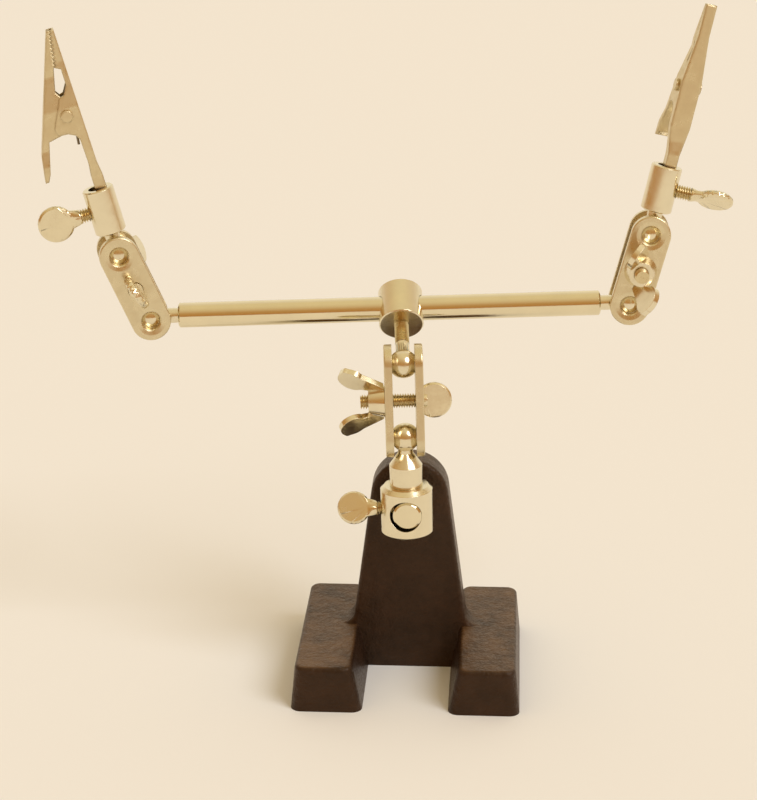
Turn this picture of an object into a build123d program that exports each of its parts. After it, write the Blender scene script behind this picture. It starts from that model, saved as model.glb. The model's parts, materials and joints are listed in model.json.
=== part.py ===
from build123d import *
import math
import os

# Third-hand soldering holder: an iron base carries a hinged mast, a sliding crossbar
# and two jointed arms that end in sprung clips.
# Millimetres. The origin is under the middle of the upright, on the plane that the base stands on.
# +Z is up, +X runs to the right along the crossbar, and -Y is the side that carries the lower collar.

# ---- base casting
base_width = 64.0
base_depth = 60.0
foot_height = 13.0
foot_width = 20.0
foot_outer_draft = 1.2
foot_inner_draft = 2.8
foot_end_draft = 1.0
foot_corner_radius = 3.0
foot_top_round = 1.2
base_back = 25.0
upright_thickness = 10.0
upright_foot_half_width = 16.4
upright_top_radius = 11.0
upright_edge_round = 1.4
root_fillet = 2.0

# ---- stub rod that carries the mast
stub_height = 53.1
stub_diameter = 8.0
stub_end_chamfer = 0.5
stub_recess = 0.5

# ---- M4 hardware
thread_diameter = 4.0
running_clearance = 0.05
thread_clearance = 0.05
touch_gap = 0.04

# ---- lower collar and its ball stud
lower_collar_diameter = 14.6
lower_collar_length = 14.0
lower_collar_play = 0.9
lower_collar_gap = 0.7
lower_collar_chamfer = 1.1
lower_collar_foot_chamfer = 0.5
lower_shoulder_diameter = 9.2
lower_shoulder_length = 6.0
lower_cone_length = 3.6
lower_stud_length = 14.1
lower_spigot_short = 0.1

# ---- balls and link plates
ball_diameter = 8.0
ball_neck_diameter = 4.2
ball_clearance = 0.03
ball_hole_diameter = 5.0
ball_hole_sink = 0.35
ball_dish_diameter = 8.0
ball_dish_depth = 0.25
link_pitch = 20.6
link_width = 11.0
link_thickness = 2.2
link_edge_round = 0.4
bolt_hole_clearance = 0.15

# ---- clamp bolts and wing nuts
bolt_head_radius = 4.9
bolt_head_offset = 2.9
bolt_head_thickness = 2.0
bolt_head_chamfer = 0.4
bolt_end_reach = 2.2
nut_base_radius = 4.5
nut_top_radius = 3.4
nut_height = 4.5
wing_thickness = 1.5
wing_reach = 7.6
wing_lobe_radius = 3.9
wing_root_axial = 2.0
wing_root_radial = 3.0
wing_lean = 26.0
wing_twist = 50.0
wing_tip_width = 0.82
wing_waist = 0.55
wing_waist_reach = 4.6
wing_root_reach = 2.5
wing_root_width = 0.22
wing_seat_gap = 0.25

# ---- thumbscrews
thumb_disc_thickness = 2.0
thumb_neck_length = 3.2
thumb_neck_width = 5.4
thumb_neck_thickness = 1.7
thumb_neck_corner = 0.6
thumb_neck_sink = 1.2
thumb_disc_chamfer = 0.5
lower_thumb_radius = 4.6
lower_thumb_reach = 11.2
clip_thumb_radius = 5.0
clip_thumb_reach = 13.0

# ---- upper collar, its threaded ball stud and the crossbar
upper_collar_diameter = 12.4
upper_collar_length = 11.8
upper_collar_chamfer = 0.3
upper_stud_length = 14.1
upper_thread_start = 7.0
upper_neck_diameter = 3.9
bar_diameter = 7.0
bar_length = 118.0
bar_bore_clearance = 0.1
bar_end_chamfer = 0.4
bar_stud_length = 8.2
bar_spigot_length = 6.0

# ---- clip collars
clip_collar_diameter = 8.6
clip_collar_length = 12.8
clip_collar_bore = 5.2
clip_collar_bore_depth = 9.0
clip_collar_chamfer = 0.3
clip_stud_length = 6.4
clip_spigot_length = 2.6

# ---- crocodile clips
clip_length = 45.2
clip_tail_diameter = 3.2
clip_tail_inside = 8.0
clip_tail_round = 3.5
clip_tail_flat = 1.2
clip_sheet = 0.5
clip_tip_width = 3.1
clip_body_width = 5.6
clip_back_round = 0.4
clip_side_gap = 0.12
pivot_from_mouth = 22.0
pivot_offset = 2.9
rivet_diameter = 2.0
rivet_head_diameter = 3.4
rivet_head_height = 0.8
tooth_pitch = 1.1
tooth_height = 0.7
tooth_count = 9
jaw_gap = 0.08
# Outlines of the cheeks from the rivet's middle: across the clip, then along it.
fixed_cheek = [(2.3, 12.4), (2.3, 8.0), (0.9, 5.6), (-0.5, 5.2), (-4.3, -2.8), (-3.7, -4.6), (-1.1, -4.8),
               (0.8, -5.8), (1.5, -7.2)]
moving_cheek = [(-0.5, 8.9), (-1.0, 6.8), (1.6, 3.0), (1.6, -1.8), (-1.8, -4.6), (-6.6, -5.6)]
bite_tip = -0.3
bite_lean = 0.16
fixed_tip_back = 0.7
fixed_root_back = 1.15
moving_tip_back = -1.35
moving_heel = (-12.7, 13.0)
handle_reach = 16.0
handle_spread = 13.85
handle_lip = 2.0
spring_wire = 0.7
spring_radius = 2.1
spring_turns = 4
spring_short_leg = 6.4
spring_short_lean = -42.0
spring_long_leg = 9.0
spring_long_lean = 6.0

# ---- rest pose, in degrees
collar_roll = -1.3
mast_spin = 4.3
mast_lean = 8.0
upper_stud_lean = 57.8
bar_offset = -3.2
left_arm = {"roll": 0.0, "tilt": 10.0, "link": -21.8, "clip": -13.3, "jaw_turn": 0.0, "screw_turn": 180.0,
            "screw_twist": 0.0, "nut_side": 1, "nut_turn": 47.0, "bolt_turn": -10.5, "tail_push": 0.95}
right_arm = {"roll": 3.6, "tilt": -3.4, "link": 16.3, "clip": 14.1, "jaw_turn": -82.0, "screw_turn": 0.0,
             "screw_twist": 57.0, "nut_side": -1, "nut_turn": 30.0, "bolt_turn": 0.0, "tail_push": -0.6}
lower_thumb_twist = 31.0
mast_nut_turn = 0.0

# ---- sizes that follow from those above
ball_radius = ball_diameter / 2
neck_radius = ball_neck_diameter / 2
plate_inner = math.sqrt((ball_radius + ball_clearance) ** 2 - (ball_hole_diameter / 2) ** 2)
plate_outer = plate_inner + link_thickness
bolt_shank = thread_diameter / 2
upright_front = -upright_thickness / 2
lower_collar_bore = stub_diameter + lower_collar_play
collar_y = upright_front - lower_collar_gap - lower_collar_diameter / 2
collar_push = (lower_collar_bore - stub_diameter) / 2 - touch_gap


def placed(shape, frame, name):
    """Moves a shape from its own frame to its place and names it."""
    moved = frame * shape
    moved.label = name
    return moved


def rod(radius, start, end):
    """A round rod along Z between two heights."""
    return Pos(0, 0, start) * extrude(Circle(radius), amount=end - start)


def along_x(shape):
    """Turns a shape made along Z so that it lies along +X."""
    return Rot(0, 90, 0) * shape


# ---------------------------------------------------------------- base


def foot(side):
    """One drafted foot of the casting, side -1 on the left and +1 on the right."""
    top_width = foot_width - foot_outer_draft - foot_inner_draft
    low_x = base_width / 2 - foot_width / 2
    top_x = base_width / 2 - foot_outer_draft - top_width / 2
    middle_y = base_back - base_depth / 2
    low = Pos(side * low_x, middle_y, 0) * RectangleRounded(foot_width, base_depth, foot_corner_radius)
    top_depth = base_depth - 2 * foot_end_draft
    top = RectangleRounded(top_width, top_depth, foot_corner_radius)
    top = Pos(side * top_x, middle_y, foot_height) * top
    solid = loft([low, top])
    return fillet(solid.faces().sort_by(Axis.Z)[-1].edges(), foot_top_round)


def upright():
    """Tapered upright with a round top, on a web that joins the two feet."""
    reach = base_width / 2 - foot_width / 2
    flank = Line((-upright_foot_half_width, foot_height), (upright_foot_half_width, foot_height))
    crown = CenterArc((0, stub_height), upright_top_radius, 0, 360)
    blade = make_hull([*flank.edges(), *crown.edges()])
    web = Pos(0, foot_height / 2) * Rectangle(2 * reach, foot_height)
    outline = blade + web
    corners = [v for v in outline.vertices() if abs(v.Y - foot_height) < 0.01 and abs(v.X) < reach - 0.1]
    outline = fillet(corners, root_fillet * 2)
    solid = extrude(Plane.XZ * outline, amount=upright_thickness / 2, both=True)
    face_edges = [e for e in solid.edges() if abs(abs(e.center().Y) - upright_thickness / 2) < 0.01]
    return fillet([e for e in face_edges if e.center().Z > foot_height + 0.1], upright_edge_round)


def base_casting():
    body = foot(-1) + foot(1) + upright()
    bore = Pos(0, -base_depth, stub_height) * Rot(-90, 0, 0) * rod(stub_diameter / 2, 0, 2 * base_depth)
    return body - bore


def stub_rod():
    """Steel rod pressed through the upright, standing out in front."""
    front = collar_y - lower_collar_diameter / 2 + stub_recess
    back = upright_thickness / 2
    bar = rod(stub_diameter / 2, 0, back - front)
    bar = chamfer(bar.edges().filter_by(GeomType.CIRCLE), stub_end_chamfer)
    return Pos(0, front, stub_height) * Rot(-90, 0, 0) * bar


# ---------------------------------------------------------------- shared hardware


def ball_stud(parts):
    """A ball with a neck on +Z, joined to the given stem pieces."""
    body = Sphere(ball_radius)
    for piece in parts:
        body += piece
    return body


def spade(radius, thickness, chamfer_size):
    """Flat round head in the XZ plane, centred on the origin."""
    disc = Rot(90, 0, 0) * Pos(0, 0, -thickness / 2) * extrude(Circle(radius), amount=thickness)
    return chamfer(disc.edges().filter_by(GeomType.CIRCLE), chamfer_size)


def thumbscrew(radius, reach):
    """Thumbscrew along +X: its tip at the origin, its flat head centred at reach."""
    neck_end = reach - radius + thumb_neck_sink
    neck_start = neck_end - thumb_neck_length
    shank = along_x(rod(bolt_shank, 0, neck_start))
    low = Plane.YZ.offset(neck_start) * Circle(bolt_shank)
    section = RectangleRounded(thumb_neck_thickness, thumb_neck_width, thumb_neck_corner)
    high = Plane.YZ.offset(neck_end) * section
    neck = loft([low, high])
    head = Pos(reach, 0, 0) * spade(radius, thumb_disc_thickness, thumb_disc_chamfer)
    return shank + neck + head


def link_plate(side):
    """Link plate with two dished ball holes and a bolt hole, its face normal along Y."""
    outline = Pos(0, link_pitch / 2) * SlotCenterToCenter(link_pitch, link_width, rotation=90)
    start = plate_inner if side > 0 else -plate_outer
    slab = Plane.XZ.offset(-start - link_thickness) * outline
    plate = extrude(slab, amount=link_thickness)
    outer_y = side * plate_outer
    rim = [e for e in plate.edges() if abs(e.center().Y - outer_y) < 0.01]
    plate = fillet(rim, link_edge_round)
    hole = ball_hole_diameter / 2
    edge = hole + ball_hole_sink
    hang = (Align.CENTER, Align.CENTER, Align.MAX)
    sink = Cone(hole, edge, ball_hole_sink, align=hang)
    dish = Cone(edge, ball_dish_diameter / 2, ball_dish_depth, align=hang)
    for height in (0, link_pitch):
        plate -= Pos(0, 0, height) * Rot(90, 0, 0) * rod(hole, -2 * plate_outer, 2 * plate_outer)
        outward = Pos(0, outer_y, height) * Rot(-90 * side, 0, 0)
        plate -= outward * dish
        plate -= outward * Pos(0, 0, -ball_dish_depth) * sink
    bolt_hole = rod(bolt_shank + bolt_hole_clearance, -2 * plate_outer, 2 * plate_outer)
    return plate - Pos(0, 0, link_pitch / 2) * Rot(90, 0, 0) * bolt_hole


def clamp_bolt():
    """Flat-headed bolt along X: head seated on the plate at -X, threaded end past the nut at +X."""
    shank = along_x(rod(bolt_shank, -plate_outer - 1.0, plate_outer + nut_height + bolt_end_reach))
    disc = spade(bolt_head_radius, bolt_head_thickness, bolt_head_chamfer)
    disc = Pos(-plate_outer - bolt_head_offset, 0, 0) * disc
    block = 4 * bolt_head_radius
    seat = Pos(-plate_outer, 0, 0) * Box(block, block, block, align=(Align.MIN, Align.CENTER, Align.CENTER))
    return shank + (disc - seat)


def wing():
    """One wing of the nut in the XZ plane: straight outer edge on +Z, round lobe far out, narrow root."""
    radius = wing_lobe_radius
    root = -wing_root_width * radius
    tip = wing_tip_width * radius
    waist = -wing_waist * radius
    strip = [(-radius / 2, radius), (wing_reach + tip, tip), (wing_reach + radius, -root), (wing_reach, 0),
             (wing_waist_reach, waist), (wing_root_reach, root), (-radius / 2, root)]
    outline = make_face(Polyline(*strip, close=True)) + Pos(wing_reach, 0) * Circle(radius)
    corner = [v for v in outline.vertices() if v.X > wing_reach + tip / 2 and v.Y > tip / 2]
    outline = fillet(corner, radius / 4)
    plate = extrude(Plane.XZ * outline, amount=wing_thickness / 2, both=True)
    return Rot(0, -wing_lean, 0) * Rot(-wing_twist, 0, 0) * plate


def wing_nut():
    """Wing nut along +X with its seat at the origin; each wing leans out and is twisted about its length."""
    stand = (Align.CENTER, Align.CENTER, Align.MIN)
    body = along_x(Cone(nut_base_radius, nut_top_radius, nut_height, align=stand))
    blade = Pos(wing_root_axial, 0, wing_root_radial) * wing()
    reach = 4 * wing_reach
    outside = Box(reach, reach, reach, align=(Align.MIN, Align.CENTER, Align.CENTER))
    blade &= Pos(wing_seat_gap, 0, 0) * outside
    body += blade
    body += Rot(180, 0, 0) * blade
    return body - along_x(rod(bolt_shank + thread_clearance, -1, reach))


# ---------------------------------------------------------------- mast and crossbar


def lower_collar():
    """Barrel with a wide cross bore for the stub, a screw hole on the left and a stud socket on top."""
    half = lower_collar_length / 2
    body = rod(lower_collar_diameter / 2, -half, half)
    body = chamfer(body.edges().group_by(Axis.Z)[-1], lower_collar_chamfer)
    body = chamfer(body.edges().group_by(Axis.Z)[0], lower_collar_foot_chamfer)
    body -= Rot(90, 0, 0) * rod(lower_collar_bore / 2, -lower_collar_diameter, lower_collar_diameter)
    body -= along_x(rod(bolt_shank + thread_clearance, -lower_collar_diameter, 0))
    return body - rod(bolt_shank + running_clearance, 0, half + 1)


def lower_ball_stud():
    """Ball at the origin; neck, cone, shoulder and spigot run down into the lower collar."""
    shoulder_top = lower_stud_length - lower_shoulder_length
    cone_top = shoulder_top - lower_cone_length
    wall = (lower_collar_length - lower_collar_bore) / 2
    shoulder = rod(lower_shoulder_diameter / 2, shoulder_top, lower_stud_length - touch_gap)
    cone = Pos(0, 0, cone_top) * Cone(neck_radius, lower_shoulder_diameter / 2, lower_cone_length,
                                      align=(Align.CENTER, Align.CENTER, Align.MIN))
    neck = rod(neck_radius, 0, cone_top)
    spigot = rod(bolt_shank, shoulder_top, lower_stud_length + wall - lower_spigot_short)
    return Rot(180, 0, 0) * ball_stud([neck, cone, shoulder, spigot])


def upper_ball_stud():
    """Ball at the origin; its threaded stem runs up into the upper collar and bears on the crossbar."""
    wall = (upper_collar_length - bar_diameter) / 2 - touch_gap
    neck = rod(upper_neck_diameter / 2, 0, upper_thread_start)
    stem = rod(bolt_shank, upper_thread_start, upper_stud_length + wall)
    return ball_stud([neck, stem])


def upper_collar():
    """Barrel along Z with a cross bore for the bar along X and a threaded hole for the stud below."""
    half = upper_collar_length / 2
    body = rod(upper_collar_diameter / 2, -half, half)
    body = chamfer(body.edges().filter_by(GeomType.CIRCLE), upper_collar_chamfer)
    body -= along_x(rod(bar_diameter / 2 + bar_bore_clearance, -upper_collar_diameter, upper_collar_diameter))
    return body - rod(bolt_shank + thread_clearance, -half - 1, 0)


def crossbar():
    """Bar along X, drilled at both ends for the ball studs."""
    half = bar_length / 2
    body = along_x(rod(bar_diameter / 2, -half, half))
    body = chamfer(body.edges().filter_by(GeomType.CIRCLE), bar_end_chamfer)
    for side in (-1, 1):
        hole = rod(neck_radius + running_clearance, half - bar_spigot_length - touch_gap, half + 1)
        body -= Rot(0, 90 * side, 0) * hole
    return body


def bar_ball_stud():
    """Ball at the origin with a spigot along +X that fits the end of the bar."""
    return along_x(ball_stud([rod(neck_radius, 0, bar_stud_length + bar_spigot_length)]))


# ---------------------------------------------------------------- clip arms


def clip_ball_stud():
    """Ball at the origin with a spigot up into the clip collar."""
    return ball_stud([rod(neck_radius, 0, clip_stud_length + clip_spigot_length)])


def clip_collar():
    """Barrel from the origin up: a blind bore for the clip's tail, a screw hole on +X, a socket below."""
    body = rod(clip_collar_diameter / 2, 0, clip_collar_length)
    body = chamfer(body.edges().filter_by(GeomType.CIRCLE), clip_collar_chamfer)
    body -= rod(clip_collar_bore / 2, clip_collar_length - clip_collar_bore_depth, clip_collar_length + 1)
    body -= rod(neck_radius + running_clearance, -1, clip_spigot_length + touch_gap)
    screw_hole = along_x(rod(bolt_shank + thread_clearance, 0, clip_collar_diameter))
    return body - Pos(0, 0, clip_collar_length / 2) * screw_hole


def bite_line(offset):
    """The zigzag between the jaws, from the tip down, moved sideways by offset."""
    points = []
    for step in range(2 * tooth_count + 1):
        drop = step * tooth_pitch / 2
        side = tooth_height / 2 if step % 2 else -tooth_height / 2
        points.append((bite_tip - bite_lean * drop + side + offset, clip_length - drop))
    return points


def from_pivot(points):
    """Points given from the rivet's middle, in the clip's own XZ plane."""
    return [(x - pivot_offset, z + pivot_from_mouth) for x, z in points]


def mirrored(half):
    """A closed outline from its right half, given from the bottom up."""
    return Polyline(*half, *[(-x, z) for x, z in reversed(half)], close=True)


def clip_width_outline(inset):
    """Front outline of the fixed jaw in the YZ plane, tail to tip, drawn in by inset."""
    tail = clip_tail_diameter / 2 - inset
    body = clip_body_width / 2 - inset
    tip = clip_tip_width / 2 - inset
    teeth = clip_length - tooth_count * tooth_pitch
    half = [(tail, 0), (tail, clip_tail_round), (body, pivot_from_mouth / 2),
            (body, pivot_from_mouth + rivet_diameter), (tip, teeth + tooth_pitch), (tip, clip_length)]
    return mirrored(half)


def channel(side_outline, inner_outline, outer_width, inner_width, back_points):
    """Folded sheet: a side outline cut to a front outline, its back rounded, hollowed by a smaller pair."""
    outer = extrude(Plane.XZ * make_face(side_outline), amount=clip_body_width, both=True)
    outer &= extrude(Plane.YZ * make_face(outer_width), amount=4 * clip_body_width, both=True)
    start, end = [Vector(x, 0, z) for x, z in back_points]
    along = (end - start).normalized()
    folds = []
    for edge in outer.edges():
        ends = [Vector(v.X, 0, v.Z) - start for v in edge.vertices()]
        if abs(edge.center().Y) > clip_sheet and all((v - along * v.dot(along)).length < 0.01 for v in ends):
            folds.append(edge)
    outer = fillet(folds, clip_back_round)
    inner = extrude(Plane.XZ * make_face(inner_outline), amount=clip_body_width, both=True)
    inner &= extrude(Plane.YZ * make_face(inner_width), amount=4 * clip_body_width, both=True)
    return outer - inner


def clip_fixed_jaw():
    """Jaw with the tail: a channel open on -X, its back on +X, teeth near its tip, cheeks for the rivet."""
    cheek = from_pivot(fixed_cheek)
    inside = clip_tail_diameter / 2
    back = [(fixed_root_back, 2 * clip_tail_round), (fixed_tip_back, clip_length)]
    shoulder = 2 * clip_tail_round
    side = Polyline(*bite_line(0), *cheek, (-clip_tail_flat, shoulder), (-inside, clip_tail_round),
                    (-inside, 0), (inside, 0), (inside, clip_tail_round), *back, close=True)
    reach = -4 * clip_body_width
    above = clip_length + 1
    hollow = [(reach, above), (reach, clip_tail_round), (inside - 2 * clip_sheet, clip_tail_round),
              (fixed_root_back - clip_sheet, shoulder), (fixed_tip_back - clip_sheet, above)]
    hollow = Polyline(*hollow, close=True)
    jaw = channel(side, hollow, clip_width_outline(0), clip_width_outline(clip_sheet), back)
    jaw += rod(inside, -clip_tail_inside, clip_tail_round)
    hole = Pos(-pivot_offset, 0, pivot_from_mouth) * Rot(90, 0, 0) * rod(rivet_diameter / 2, -9, 9)
    return jaw - hole


def moving_width_outline(inset):
    """Front outline of the moving jaw in the YZ plane: narrow between the cheeks, wide at the handle."""
    teeth = clip_length - tooth_count * tooth_pitch
    between = clip_body_width / 2 - clip_sheet - clip_side_gap
    cheek_top = pivot_from_mouth + rivet_diameter
    taper = (clip_body_width - clip_tip_width) / 2 / (teeth + tooth_pitch - cheek_top)
    cheek_foot = pivot_from_mouth - handle_reach / 2
    handle_z = pivot_from_mouth - handle_reach
    wide = clip_body_width / 2
    tip = clip_tip_width / 2
    neck_z = teeth - 2 * tooth_pitch
    neck = between - taper * (neck_z - cheek_top)
    half = [(wide, handle_z - 1), (wide, handle_z + 4), (between, cheek_foot), (between, cheek_top),
            (neck, neck_z), (tip, teeth), (tip, clip_length)]
    return mirrored([(x - inset, z) for x, z in half])


def clip_moving_jaw():
    """Jaw on the rivet: a channel open towards the fixed jaw, teeth at its tip, a cupped handle below."""
    handle_z = pivot_from_mouth - handle_reach
    end = (-handle_spread, handle_z)
    tip = (moving_tip_back, clip_length)
    cup = [(end[0] + handle_lip, end[1] + handle_lip), (end[0] + handle_lip / 2, end[1])]
    side = Polyline(end, moving_heel, tip, *bite_line(-jaw_gap), *from_pivot(moving_cheek), *cup, close=True)
    slope = (tip[0] - moving_heel[0]) / (tip[1] - moving_heel[1])
    shift = clip_sheet * math.sqrt(1 + slope ** 2)
    reach = 4 * clip_body_width
    low = handle_z + clip_sheet
    above = clip_length + 1
    hollow = [(end[0] + shift, low), (moving_heel[0] + shift, moving_heel[1]), (tip[0] + shift, above),
              (reach, above), (reach, low)]
    hollow = Polyline(*hollow, close=True)
    jaw = channel(side, hollow, moving_width_outline(0), moving_width_outline(clip_sheet), [moving_heel, tip])
    bore = rod(rivet_diameter / 2 + running_clearance, -9, 9)
    return jaw - Pos(-pivot_offset, 0, pivot_from_mouth) * Rot(90, 0, 0) * bore


def clip_rivet():
    """Rivet across the cheeks, with a round head on each side."""
    half = clip_body_width / 2
    body = rod(rivet_diameter / 2, -half, half)
    for side in (0, 180):
        body += Rot(0, side, 0) * rod(rivet_head_diameter / 2, half, half + rivet_head_height)
    return Pos(-pivot_offset, 0, pivot_from_mouth) * Rot(90, 0, 0) * body


def clip_spring():
    """Torsion spring round the rivet: a coil and two legs, one to each jaw."""
    half = spring_turns * spring_wire / 2
    coil = rod(spring_radius, -half, half) - rod(spring_radius - spring_wire, -half - 1, half + 1)
    coil = Rot(90, 0, 0) * coil
    middle = spring_radius - spring_wire / 2
    legs = []
    sizes = ((-1, spring_short_lean, spring_short_leg), (1, spring_long_lean, spring_long_leg))
    for side, lean, length in sizes:
        leg = rod(spring_wire / 2, 0, length)
        legs.append(Rot(0, lean + 180, 0) * Pos(-side * middle, side * (half - spring_wire / 2), 0) * leg)
    return Pos(-pivot_offset, 0, pivot_from_mouth) * (coil + legs[0] + legs[1])


# ---------------------------------------------------------------- where each piece stands at rest

collar_frame = Pos(0, collar_y, stub_height) * Rot(0, collar_roll, 0)
lower_ball = collar_frame * Pos(-collar_push, 0, lower_collar_length / 2 + lower_stud_length)
mast_frame = lower_ball * Rot(0, 0, mast_spin)
mast_link = mast_frame * Rot(-mast_lean, 0, 0)
upper_ball = mast_link * Pos(0, 0, link_pitch)
upper_stud = upper_ball * Rot(mast_lean - upper_stud_lean, 0, 0)
bar_collar = upper_stud * Pos(0, 0, upper_stud_length + upper_collar_length / 2)
bar_frame = bar_collar * Pos(bar_offset, 0, 0) * Rot(upper_stud_lean, 0, 0)


def arm_frames(side, pose):
    """Frames of one arm: ball on the bar, link, ball at the clip, clip collar and clip."""
    end = bar_frame * Pos(side * (bar_length / 2 + bar_stud_length), 0, 0)
    plane = end * Rot(-pose["roll"], 0, 0) * Rot(0, 0, pose["tilt"])
    link = plane * Rot(0, pose["link"], 0)
    far = link * Pos(0, 0, link_pitch) * Rot(0, pose["clip"] - pose["link"], 0)
    collar = far * Pos(0, 0, clip_stud_length)
    turned = collar * Rot(0, 0, pose["screw_turn"])
    push = pose["tail_push"]
    screw_tip = turned * Pos(clip_tail_diameter / 2 - push + touch_gap, 0, clip_collar_length / 2)
    clip = turned * Pos(-push, 0, clip_collar_length) * Rot(0, 0, pose["jaw_turn"] - pose["screw_turn"])
    return {"end": end, "link": link, "far": far, "collar": turned, "clip": clip,
            "screw": screw_tip * Rot(pose["screw_twist"], 0, 0)}


def fasteners(link, nut_side, nut_turn, bolt_turn):
    """Frames of a link's clamp bolt and wing nut; nut_side is +1 behind the link and -1 in front of it."""
    middle = link * Pos(0, 0, link_pitch / 2) * Rot(0, 0, 90 * nut_side)
    bolt = middle * Rot(bolt_turn, 0, 0)
    nut = middle * Pos(plate_outer + touch_gap, 0, 0) * Rot(nut_turn, 0, 0)
    return bolt, nut


mast_plates = mast_link * Rot(0, 0, -90)
mast_bolt, mast_nut = fasteners(mast_plates, -1, mast_nut_turn, 0)
lower_thumb = collar_frame * Rot(0, 0, 180) * Pos(stub_diameter / 2 + touch_gap, 0, 0)
lower_thumb *= Rot(lower_thumb_twist, 0, 0)

nodes = [
    placed(base_casting(), Pos(0, 0, 0), "base_casting"),
    placed(stub_rod(), Pos(0, 0, 0), "stub_rod"),
    placed(lower_collar(), collar_frame * Pos(-collar_push, 0, 0), "lower_collar"),
    placed(thumbscrew(lower_thumb_radius, lower_thumb_reach), lower_thumb, "lower_thumbscrew"),
    placed(lower_ball_stud(), lower_ball, "lower_ball_stud"),
    placed(link_plate(-1), mast_plates, "mast_plate_left"),
    placed(link_plate(1), mast_plates, "mast_plate_right"),
    placed(clamp_bolt(), mast_bolt, "mast_clamp_bolt"),
    placed(wing_nut(), mast_nut, "mast_wing_nut"),
    placed(upper_ball_stud(), upper_stud, "upper_ball_stud"),
    placed(upper_collar(), bar_collar, "upper_collar"),
    placed(crossbar(), bar_frame, "crossbar"),
]

for arm_name, arm_side, arm_pose in (("left", -1, left_arm), ("right", 1, right_arm)):
    frames = arm_frames(arm_side, arm_pose)
    turns = arm_pose["nut_side"], arm_pose["nut_turn"], arm_pose["bolt_turn"]
    bolt_frame, nut_frame = fasteners(frames["link"], *turns)
    nodes += [
        placed(bar_ball_stud(), frames["end"] * Rot(0, 0, 90 + 90 * arm_side), arm_name + "_bar_ball_stud"),
        placed(link_plate(-1), frames["link"], arm_name + "_link_plate_front"),
        placed(link_plate(1), frames["link"], arm_name + "_link_plate_back"),
        placed(clamp_bolt(), bolt_frame, arm_name + "_clamp_bolt"),
        placed(wing_nut(), nut_frame, arm_name + "_wing_nut"),
        placed(clip_ball_stud(), frames["far"], arm_name + "_clip_ball_stud"),
        placed(clip_collar(), frames["collar"], arm_name + "_clip_collar"),
        placed(thumbscrew(clip_thumb_radius, clip_thumb_reach), frames["screw"], arm_name + "_thumbscrew"),
        placed(clip_fixed_jaw(), frames["clip"], arm_name + "_clip_fixed_jaw"),
        placed(clip_moving_jaw(), frames["clip"], arm_name + "_clip_moving_jaw"),
        placed(clip_rivet(), frames["clip"], arm_name + "_clip_rivet"),
        placed(clip_spring(), frames["clip"], arm_name + "_clip_spring"),
    ]

os.makedirs("parts", exist_ok=True)
for node in nodes:
    export_step(node, "parts/" + node.label + ".step")
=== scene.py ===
# %% [markdown]
# # A third hand for soldering
# A weighted iron stand carries a hinged mast, a sliding crossbar and jointed arms that end in
# sprung crocodile clips. The solid shapes come from the imported CAD model, which stays where it
# is: this lesson gives every piece its finish, and models again the pieces that carry a thread
# or a coil, because those need more shape than their plain CAD stand-ins have.

# %% Load the frame
import json
import math
import bmesh
import bpy
from mathutils import Matrix, Vector


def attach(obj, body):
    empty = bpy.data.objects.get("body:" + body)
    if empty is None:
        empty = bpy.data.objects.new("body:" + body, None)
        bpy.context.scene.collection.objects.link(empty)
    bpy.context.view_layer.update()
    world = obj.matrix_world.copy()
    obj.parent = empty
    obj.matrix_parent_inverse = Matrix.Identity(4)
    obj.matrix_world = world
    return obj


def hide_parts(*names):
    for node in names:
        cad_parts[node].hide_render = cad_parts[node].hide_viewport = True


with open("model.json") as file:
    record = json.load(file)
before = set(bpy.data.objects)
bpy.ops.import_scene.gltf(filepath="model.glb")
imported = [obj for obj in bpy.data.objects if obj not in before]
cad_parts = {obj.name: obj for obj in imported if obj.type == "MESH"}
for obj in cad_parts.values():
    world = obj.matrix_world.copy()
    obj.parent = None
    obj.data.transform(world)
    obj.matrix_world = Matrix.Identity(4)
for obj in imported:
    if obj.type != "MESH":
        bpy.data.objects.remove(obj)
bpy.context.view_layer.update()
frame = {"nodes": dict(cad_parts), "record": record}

MM = 0.001
nodes = frame["nodes"]

# %% [markdown]
# The camera looks a little down at the stand, from about 70 cm, with a long lens. A long lens
# keeps both arms at nearly the same size, as a product picture wants.

# %% Camera
camera_place = Vector((27.5, -604.0, 297.4)) * MM
camera_turn = math.radians(3.46)
camera_down = math.radians(19.74)
camera_roll = math.radians(-0.22)

camera_data = bpy.data.cameras.new("camera")
camera_data.lens = 102.8
camera_data.sensor_width = 36.0
camera_data.clip_start = 0.01
camera_data.clip_end = 50.0
camera = bpy.data.objects.new("camera", camera_data)
bpy.context.scene.collection.objects.link(camera)
camera.matrix_world = (
    Matrix.Translation(camera_place)
    @ Matrix.Rotation(camera_turn, 4, "Z")
    @ Matrix.Rotation(math.radians(90) - camera_down, 4, "X")
    @ Matrix.Rotation(camera_roll, 4, "Z")
)
bpy.context.scene.camera = camera
bpy.context.scene.view_settings.view_transform = "Standard"

# %% [markdown]
# Shaders want linear colours and a lot of wiring, so a few small functions do both.


# %% Helpers for materials
def linear(hex_colour):
    """An sRGB hex colour as the linear colour that shaders use."""
    channels = [int(hex_colour[i : i + 2], 16) / 255 for i in (1, 3, 5)]
    return [c / 12.92 if c <= 0.04045 else ((c + 0.055) / 1.055) ** 2.4 for c in channels] + [1.0]


def add_node(material, kind, settings=None, **links):
    """Adds one shader node. A link is an output socket, and any other value is set on the input.
    An input goes by its name with _ for a space, or by i and its number where names repeat."""
    node = material.node_tree.nodes.new(kind)
    for name, value in (settings or {}).items():
        setattr(node, name, value)
    for name, value in links.items():
        by_number = name[0] == "i" and name[1:].isdigit()
        socket = node.inputs[int(name[1:]) if by_number else name.replace("_", " ")]
        if isinstance(value, bpy.types.NodeSocket):
            material.node_tree.links.new(value, socket)
        else:
            socket.default_value = value
    return node


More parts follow.
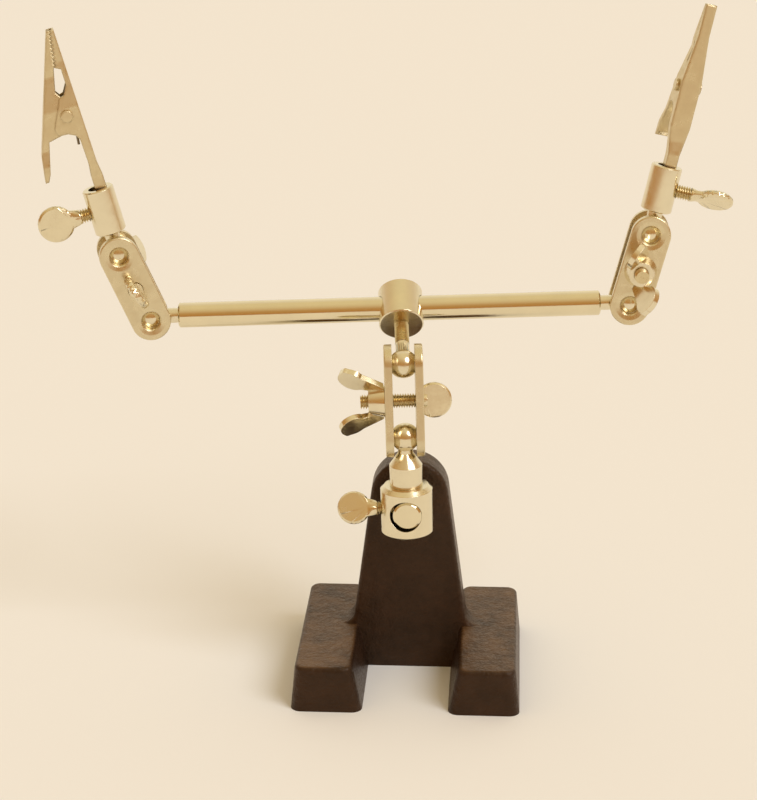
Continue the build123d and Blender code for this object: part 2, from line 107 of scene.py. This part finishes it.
def new_material(name):
    """An empty material with its output node."""
    material = bpy.data.materials.new(name)
    material.use_nodes = True
    material.node_tree.nodes.clear()
    output = material.node_tree.nodes.new("ShaderNodeOutputMaterial")
    return material, output


def noise(material, place, size_mm, detail, roughness):
    """The value of a noise texture whose features are about this many millimetres across."""
    scale = 1.0 / (size_mm * MM)
    texture = add_node(
        material, "ShaderNodeTexNoise", Vector=place, Scale=scale, Detail=detail, Roughness=roughness,
    )
    return texture.outputs["Fac"]


# %% [markdown]
# ## Enamelled cast iron
# The base is sand-cast iron dipped in black enamel. The sand leaves a lumpy skin a millimetre
# or so across, and the enamel flows over it and shines, thinner and browner where it has worn.
# Its tops are painted a lighter brown in patches, partly dust and partly a painted sheen.

# %% Enamelled cast iron
def enamelled_cast_iron():
    material, output = new_material("enamelled_cast_iron")
    place = add_node(material, "ShaderNodeTexCoord").outputs["Object"]
    lumps = noise(material, place, 2.6, 4.0, 0.6)
    grains = noise(material, place, 0.7, 3.0, 0.6)
    wear = noise(material, place, 9.0, 6.0, 0.65)
    tint = add_node(material, "ShaderNodeValToRGB", Fac=wear)
    tint.color_ramp.elements[0].position = 0.35
    tint.color_ramp.elements[0].color = linear("#1F150F")
    tint.color_ramp.elements[1].position = 0.72
    tint.color_ramp.elements[1].color = linear("#34241A")
    # Faces that point up are mixed in patches towards a lighter brown: partly dust, partly a painted sheen of
    # the light that falls on the tops.
    facing = add_node(material, "ShaderNodeNewGeometry").outputs["Normal"]
    upward = add_node(material, "ShaderNodeSeparateXYZ", Vector=facing)
    upward_faces = add_node(material, "ShaderNodeMapRange", Value=upward.outputs["Z"], From_Min=0.75, From_Max=1.0)
    patchy = add_node(material, "ShaderNodeMapRange", Value=wear, From_Min=0.3, From_Max=0.65)
    dust_and_sheen = add_node(
        material, "ShaderNodeMath", {"operation": "MULTIPLY"},
        i0=upward_faces.outputs["Result"], i1=patchy.outputs["Result"],
    )
    colour = add_node(
        material, "ShaderNodeMix", {"data_type": "RGBA"}, Factor=dust_and_sheen.outputs["Value"],
        i6=tint.outputs["Color"], i7=linear("#5F482F"),
    )
    gloss = add_node(
        material, "ShaderNodeMapRange", Value=grains, From_Min=0.3, From_Max=0.7, To_Min=0.32, To_Max=0.6,
    )
    coarse = add_node(material, "ShaderNodeBump", Strength=0.8, Distance=0.55 * MM, Height=lumps)
    fine = add_node(
        material, "ShaderNodeBump", Strength=0.85, Distance=0.25 * MM, Height=grains,
        Normal=coarse.outputs["Normal"],
    )
    edge = add_node(
        material, "ShaderNodeBevel", {"samples": 4}, Radius=0.8 * MM, Normal=fine.outputs["Normal"],
    )
    skin = add_node(
        material, "ShaderNodeBsdfPrincipled", Base_Color=colour.outputs[2], Roughness=gloss.outputs["Result"],
        IOR=1.45, Specular_Tint=linear("#F0C698"), Coat_Weight=0.22, Coat_Roughness=0.08,
        Coat_Tint=linear("#E9C08E"), Normal=edge.outputs["Normal"], Coat_Normal=fine.outputs["Normal"],
    )
    material.node_tree.links.new(skin.outputs["BSDF"], output.inputs["Surface"])
    return material


# %% [markdown]
# ## Nickel-plated steel
# Everything else is steel under nickel plate. What changes is how the steel was made before it
# was plated: the rods are ground, the collars and studs are turned, and the links and clips are
# pressed from sheet. Nickel is a warm metal, so its grey leans to yellow.

# %% Nickel-plated steel
def nickel_plate(name, colour, roughness, cloud_mm, spread, edge_mm, line_mm=None):
    """Plated steel. Its gloss varies in clouds, its edges are worn round, and some has upright tool lines."""
    material, output = new_material(name)
    place = add_node(material, "ShaderNodeTexCoord").outputs["Object"]
    clouds = noise(material, place, cloud_mm, 4.0, 0.6)
    gloss = add_node(
        material, "ShaderNodeMapRange", Value=clouds, From_Min=0.3, From_Max=0.7,
        To_Min=max(roughness - spread, 0.02), To_Max=roughness + spread,
    )
    stain = add_node(
        material, "ShaderNodeMix", {"data_type": "RGBA"}, Factor=clouds,
        i6=linear(colour), i7=[0.86 * c for c in linear(colour)[:3]] + [1.0],
    )
    skin = noise(material, place, 1.6, 2.0, 0.5)
    normal = add_node(material, "ShaderNodeBump", Strength=0.35, Distance=0.02 * MM, Height=skin)
    if line_mm:
        along = add_node(material, "ShaderNodeMapping", Vector=place, Scale=(1.0, 0.03, 0.03))
        lines = noise(material, along.outputs["Vector"], line_mm, 3.0, 0.7)
        normal = add_node(
            material, "ShaderNodeBump", Strength=0.6, Distance=0.02 * MM, Height=lines,
            Normal=normal.outputs["Normal"],
        )
    if edge_mm:
        normal = add_node(
            material, "ShaderNodeBevel", {"samples": 4}, Radius=edge_mm * MM, Normal=normal.outputs["Normal"],
        )
    metal = add_node(
        material, "ShaderNodeBsdfPrincipled", Base_Color=stain.outputs[2], Metallic=1.0,
        Roughness=gloss.outputs["Result"], Normal=normal.outputs["Normal"],
    )
    material.node_tree.links.new(metal.outputs["BSDF"], output.inputs["Surface"])
    return material


iron = enamelled_cast_iron()
ground_nickel = nickel_plate("ground_nickel_plate", "#EFE4C4", 0.13, 9.0, 0.04, 0.15)
turned_nickel = nickel_plate("turned_nickel_plate", "#F0E6C9", 0.2, 4.0, 0.06, 0.15)
brushed_nickel = nickel_plate("brushed_nickel_plate", "#EEE3C3", 0.24, 4.0, 0.06, 0.15, 0.35)
threaded_nickel = nickel_plate("threaded_nickel_plate", "#E2D2A8", 0.25, 2.0, 0.06, 0.0)
pressed_nickel = nickel_plate("pressed_nickel_plate", "#E4D7B4", 0.3, 3.0, 0.08, 0.2)
clip_nickel = nickel_plate("folded_clip_plate", "#E0D0A9", 0.34, 2.2, 0.1, 0.8)
spring_steel = nickel_plate("drawn_spring_wire", "#8E8068", 0.3, 2.0, 0.05, 0.0)


def finish_of(name):
    """The finish that a CAD piece gets, from its name."""
    if name == "base_casting":
        return iron
    if "spring" in name:
        return spring_steel
    if "jaw" in name or "rivet" in name:
        return clip_nickel
    if "plate" in name:
        return pressed_nickel
    if name in ("crossbar", "stub_rod"):
        return ground_nickel
    if "bolt" in name or "thumbscrew" in name:
        return brushed_nickel
    return turned_nickel


for name, piece in nodes.items():
    piece.data.materials.clear()
    piece.data.materials.append(finish_of(name))

# %% [markdown]
# ## Working from the joints
# Each joint knows its own axis and the point it turns about. Those two facts place a screw, a
# bolt or a spring exactly, so no piece below repeats a coordinate of the CAD model.

# %% Working from the joints
joints = {joint["name"]: joint for joint in frame["record"]["behaviour"]["joints"]}


def axis_of(joint_name):
    """A joint's point and unit axis, in metres in the row frame. A slide has an axis but no point."""
    joint = joints[joint_name]
    return Vector(joint.get("pos_m", (0.0, 0.0, 0.0))), Vector(joint["axis"]).normalized()


def frame_along(point, axis, across=None):
    """A matrix whose Z runs along the axis from the point, with X as near across as it can be."""
    across = across or axis.orthogonal()
    side = (across - axis * across.dot(axis)).normalized()
    columns = Matrix((side, axis.cross(side), axis)).transposed()
    return Matrix.Translation(point) @ columns.to_4x4()


def start_alone():
    """Object mode with nothing selected, so that the next operator acts on its own new piece."""
    if bpy.context.object and bpy.context.object.mode != "OBJECT":
        bpy.ops.object.mode_set(mode="OBJECT")
    bpy.ops.object.select_all(action="DESELECT")


def seat(piece, place):
    """Moves a piece from its own frame to its place and leaves its object at the origin."""
    piece.matrix_world = place @ piece.matrix_world
    bpy.ops.object.select_all(action="DESELECT")
    piece.select_set(True)
    bpy.context.view_layer.objects.active = piece
    bpy.ops.object.transform_apply(location=True, rotation=True, scale=True)
    return piece


def turn_outwards(piece):
    """Turns a closed piece's faces outwards: a shell whose volume comes out negative is inside out."""
    bpy.ops.object.mode_set(mode="EDIT")
    bpy.ops.mesh.select_all(action="SELECT")
    bpy.ops.mesh.normals_make_consistent(inside=False)
    bpy.ops.object.mode_set(mode="OBJECT")
    shell = bmesh.new()
    shell.from_mesh(piece.data)
    inside_out = shell.calc_volume(signed=True) < 0.0
    shell.free()
    if inside_out:
        bpy.ops.object.mode_set(mode="EDIT")
        bpy.ops.mesh.flip_normals()
        bpy.ops.object.mode_set(mode="OBJECT")
    return piece


def cut(piece, point, normal):
    """Cuts a piece with a plane, drops what lies on the normal's side and closes the cut."""
    start_alone()
    piece.select_set(True)
    bpy.context.view_layer.objects.active = piece
    bpy.ops.object.mode_set(mode="EDIT")
    bpy.ops.mesh.select_all(action="SELECT")
    bpy.ops.mesh.bisect(plane_co=point, plane_no=normal, use_fill=False, clear_outer=True)
    bpy.ops.mesh.select_all(action="SELECT")
    bpy.ops.mesh.fill_holes(sides=0)
    bpy.ops.object.mode_set(mode="OBJECT")
    return turn_outwards(piece)


def merged_copy(node_name, piece_name):
    """A copy of a CAD piece with its own mesh, whose loose triangles are merged into one skin."""
    start_alone()
    piece = bpy.data.objects.new(piece_name, nodes[node_name].data.copy())
    bpy.context.scene.collection.objects.link(piece)
    piece.select_set(True)
    bpy.context.view_layer.objects.active = piece
    bpy.ops.object.mode_set(mode="EDIT")
    bpy.ops.mesh.select_all(action="SELECT")
    bpy.ops.mesh.remove_doubles(threshold=0.002 * MM)
    bpy.ops.object.mode_set(mode="OBJECT")
    return piece


# %% [markdown]
# ## A cut thread
# A thread is one groove profile wound up a rod. The profile is a single zigzag edge, one pitch
# tall, and the Screw modifier winds it. Two flat cuts then give the rod its ends.

# %% A cut thread
THREAD_PITCH = 0.7 * MM
THREAD_FLAT = 0.14
THREAD_FLANK = 0.36
THREAD_STEPS = 28
LEAD_TURNS = 2
THREAD_CREST = 2.0 * MM
THREAD_ROOT = 1.46 * MM


def wound_thread(name, length):
    """A threaded rod along Z from the origin. It is wound too long, then cut flat at both ends."""
    start_alone()
    bpy.ops.mesh.primitive_plane_add(size=1.0, location=(0.0, 0.0, 0.0))
    rod = bpy.context.active_object
    rod.name = name
    bpy.ops.object.mode_set(mode="EDIT")
    bpy.ops.mesh.select_all(action="SELECT")
    bpy.ops.mesh.merge(type="CENTER")
    bpy.ops.transform.translate(value=(THREAD_ROOT, 0.0, -LEAD_TURNS * THREAD_PITCH))
    zigzag = ((0.0, THREAD_FLAT), (1.0, THREAD_FLANK), (0.0, THREAD_FLAT), (-1.0, THREAD_FLANK))
    for outwards, upwards in zigzag:
        step = (outwards * (THREAD_CREST - THREAD_ROOT), 0.0, upwards * THREAD_PITCH)
        bpy.ops.mesh.extrude_vertices_move(TRANSFORM_OT_translate={"value": step})
    bpy.ops.object.mode_set(mode="OBJECT")
    winding = rod.modifiers.new("winding", "SCREW")
    winding.axis = "Z"
    winding.screw_offset = THREAD_PITCH
    winding.iterations = int(length / THREAD_PITCH) + 2 * LEAD_TURNS + 1
    winding.steps = winding.render_steps = THREAD_STEPS
    winding.use_merge_vertices = True
    winding.merge_threshold = 0.001 * MM
    bpy.ops.object.modifier_apply(modifier=winding.name)
    bpy.ops.object.mode_set(mode="EDIT")
    bpy.ops.mesh.select_all(action="SELECT")
    bpy.ops.mesh.remove_doubles(threshold=0.004 * MM)
    bpy.ops.object.mode_set(mode="OBJECT")
    cut(rod, (0.0, 0.0, 0.0), (0.0, 0.0, -1.0))
    cut(rod, (0.0, 0.0, length), (0.0, 0.0, 1.0))
    bpy.ops.object.shade_smooth_by_angle(angle=math.radians(25))
    return rod


def threaded(node_name, body, joint_name, start, stop, head_at, finish):
    """A CAD piece whose plain shank, from start to stop along a joint's axis, becomes a real thread."""
    point, axis = axis_of(joint_name)
    towards_shank = 1.0 if head_at == start else -1.0
    head = cut(merged_copy(node_name, node_name + "_threaded"), point + axis * head_at, axis * towards_shank)
    rod = wound_thread(node_name + "_rod", stop - start)
    seat(rod, frame_along(point + axis * start, axis))
    rod.data.materials.append(threaded_nickel)
    head.data.materials.clear()
    head.data.materials.append(finish)
    start_alone()
    rod.select_set(True)
    head.select_set(True)
    bpy.context.view_layer.objects.active = head
    bpy.ops.object.join()
    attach(head, body)
    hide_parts(node_name)
    return head


# %% [markdown]
# Bolts are threaded from the flat head to the far end, thumbscrews from the tip to the neck, and
# the upper ball stud from its neck up into the collar.

# %% Threaded pieces
BOLT_SEAT = -10.7 * MM
BOLT_END = 6.66 * MM
LOWER_THUMB_NECK = 4.5 * MM
CLIP_THUMB_NECK = 5.9 * MM
STUD_THREAD = 7.0 * MM
STUD_END = 16.4 * MM
for side in ("mast", "left", "right"):
    body = side + "_link"
    threaded(side + "_clamp_bolt", body, side + "_nut_turn", BOLT_SEAT, BOLT_END, BOLT_SEAT, brushed_nickel)
neck = LOWER_THUMB_NECK
threaded("lower_thumbscrew", "mast_screw", "mast_screw_turn", 0.0, neck, neck, brushed_nickel)
neck = CLIP_THUMB_NECK
for side in ("left", "right"):
    joint = side + "_screw_turn"
    threaded(side + "_thumbscrew", side + "_screw", joint, 0.0, neck, neck, brushed_nickel)
threaded("upper_ball_stud", "bar_ball", "bar_ball_spin", STUD_THREAD, STUD_END, STUD_THREAD, turned_nickel)

# %% [markdown]
# ## Clip springs
# A torsion spring is one wire: a leg, a few turns round the rivet, and a second leg. One round
# section is wound with the Screw modifier, its ends are closed, and each end is pulled out
# straight to make a leg.

# %% Clip springs
WIRE = 0.35 * MM
COIL_RADIUS = 1.75 * MM
COIL_HEIGHT = 2.1 * MM
COIL_TURN = math.radians(948)
FIRST_LEG_TURN = math.radians(138)
FIRST_LEG = 6.4 * MM
SECOND_LEG = 9.0 * MM
WIRE_SIDES = 14


def pull_end(piece, lowest, step):
    """Pulls out the wire's lowest or highest end face by a step."""
    bpy.ops.object.mode_set(mode="EDIT")
    bpy.ops.mesh.select_mode(type="FACE")
    bpy.ops.mesh.select_all(action="DESELECT")
    bpy.ops.object.mode_set(mode="OBJECT")
    ends = [face for face in piece.data.polygons if len(face.vertices) == WIRE_SIDES]
    end = sorted(ends, key=lambda face: face.center.z)[0 if lowest else -1]
    for face in piece.data.polygons:
        face.select = face == end
    bpy.ops.object.mode_set(mode="EDIT")
    bpy.ops.mesh.extrude_region_move(TRANSFORM_OT_translate={"value": step})
    bpy.ops.object.mode_set(mode="OBJECT")


def clip_spring(side):
    """The torsion spring of one clip, wound round its rivet."""
    start_alone()
    bpy.ops.mesh.primitive_circle_add(
        vertices=WIRE_SIDES, radius=WIRE, location=(COIL_RADIUS, 0.0, -COIL_HEIGHT / 2),
        rotation=(math.pi / 2, 0.0, 0.0),
    )
    wire = bpy.context.active_object
    wire.name = side + "_clip_spring_wire"
    bpy.ops.object.transform_apply(location=True, rotation=True, scale=True)
    coil = wire.modifiers.new("coil", "SCREW")
    coil.axis = "Z"
    coil.angle = COIL_TURN
    coil.screw_offset = COIL_HEIGHT
    coil.steps = coil.render_steps = 72
    bpy.ops.object.modifier_apply(modifier=coil.name)
    bpy.ops.object.mode_set(mode="EDIT")
    bpy.ops.mesh.select_all(action="SELECT")
    bpy.ops.mesh.fill_holes(sides=0)
    bpy.ops.object.mode_set(mode="OBJECT")
    pull_end(wire, True, (0.0, -FIRST_LEG, 0.0))
    away = (-math.sin(COIL_TURN) * SECOND_LEG, math.cos(COIL_TURN) * SECOND_LEG, 0.0)
    pull_end(wire, False, away)
    turn_outwards(wire)
    bpy.ops.object.shade_smooth_by_angle(angle=math.radians(40))
    pivot, turning = axis_of(side + "_jaw_open")
    _, lengthwise = axis_of(side + "_clip_slide")
    outward = lengthwise.cross(turning)
    radial = outward * math.cos(FIRST_LEG_TURN) - lengthwise * math.sin(FIRST_LEG_TURN)
    seat(wire, frame_along(pivot, -turning, radial))
    wire.data.materials.append(spring_steel)
    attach(wire, side + "_clip")
    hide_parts(side + "_clip_spring")


clip_spring("left")
clip_spring("right")

# %% [markdown]
# ## Floor and light
# A pale cream floor under a soft sun from the right. The room is bright behind the stand and
# brown on the camera's side, and that brown is what gives the plated parts their dark bands.

# %% Floor and light
bpy.ops.object.select_all(action="DESELECT")
bpy.ops.mesh.primitive_plane_add(size=60.0, location=(0.0, 0.0, 0.0))
floor = bpy.context.active_object
floor.name = "floor"
floor_material, floor_output = new_material("pale_floor")
floor_skin = add_node(floor_material, "ShaderNodeBsdfDiffuse", Color=linear("#EDEEEE"), Roughness=0.0)
floor_material.node_tree.links.new(floor_skin.outputs["BSDF"], floor_output.inputs["Surface"])
floor.data.materials.append(floor_material)

sun_data = bpy.data.lights.new("soft_sun", "SUN")
sun_data.energy = 1.6
sun_data.angle = math.radians(32)
sun_data.color = linear("#F4F8FF")[:3]
sun = bpy.data.objects.new("soft_sun", sun_data)
bpy.context.scene.collection.objects.link(sun)
sun.rotation_euler = Vector((-0.9, 0.7, -1.1)).to_track_quat("-Z", "Y").to_euler()

world = bpy.data.worlds.new("room")
world.use_nodes = True
world.node_tree.nodes.clear()
direction = add_node(world, "ShaderNodeTexCoord").outputs["Generated"]
parts = add_node(world, "ShaderNodeSeparateXYZ", Vector=direction)
height = add_node(world, "ShaderNodeValToRGB", Fac=parts.outputs["Z"])
height.color_ramp.elements[0].position = 0.0
height.color_ramp.elements[0].color = linear("#B98348")
height.color_ramp.elements[1].position = 1.0
height.color_ramp.elements[1].color = linear("#EBD9B0")
middle = height.color_ramp.elements.new(0.45)
middle.color = linear("#C69A62")
behind = add_node(world, "ShaderNodeMapRange", Value=parts.outputs["Y"], From_Min=0.15, From_Max=0.8)
room = add_node(
    world, "ShaderNodeMix", {"data_type": "RGBA"}, Factor=behind.outputs["Result"],
    i6=height.outputs["Color"], i7=linear("#F9EFD9"),
)
glow = add_node(world, "ShaderNodeBackground", Color=room.outputs[2], Strength=1.0)
world_output = world.node_tree.nodes.new("ShaderNodeOutputWorld")
world.node_tree.links.new(glow.outputs["Background"], world_output.inputs["Surface"])
bpy.context.scene.world = world
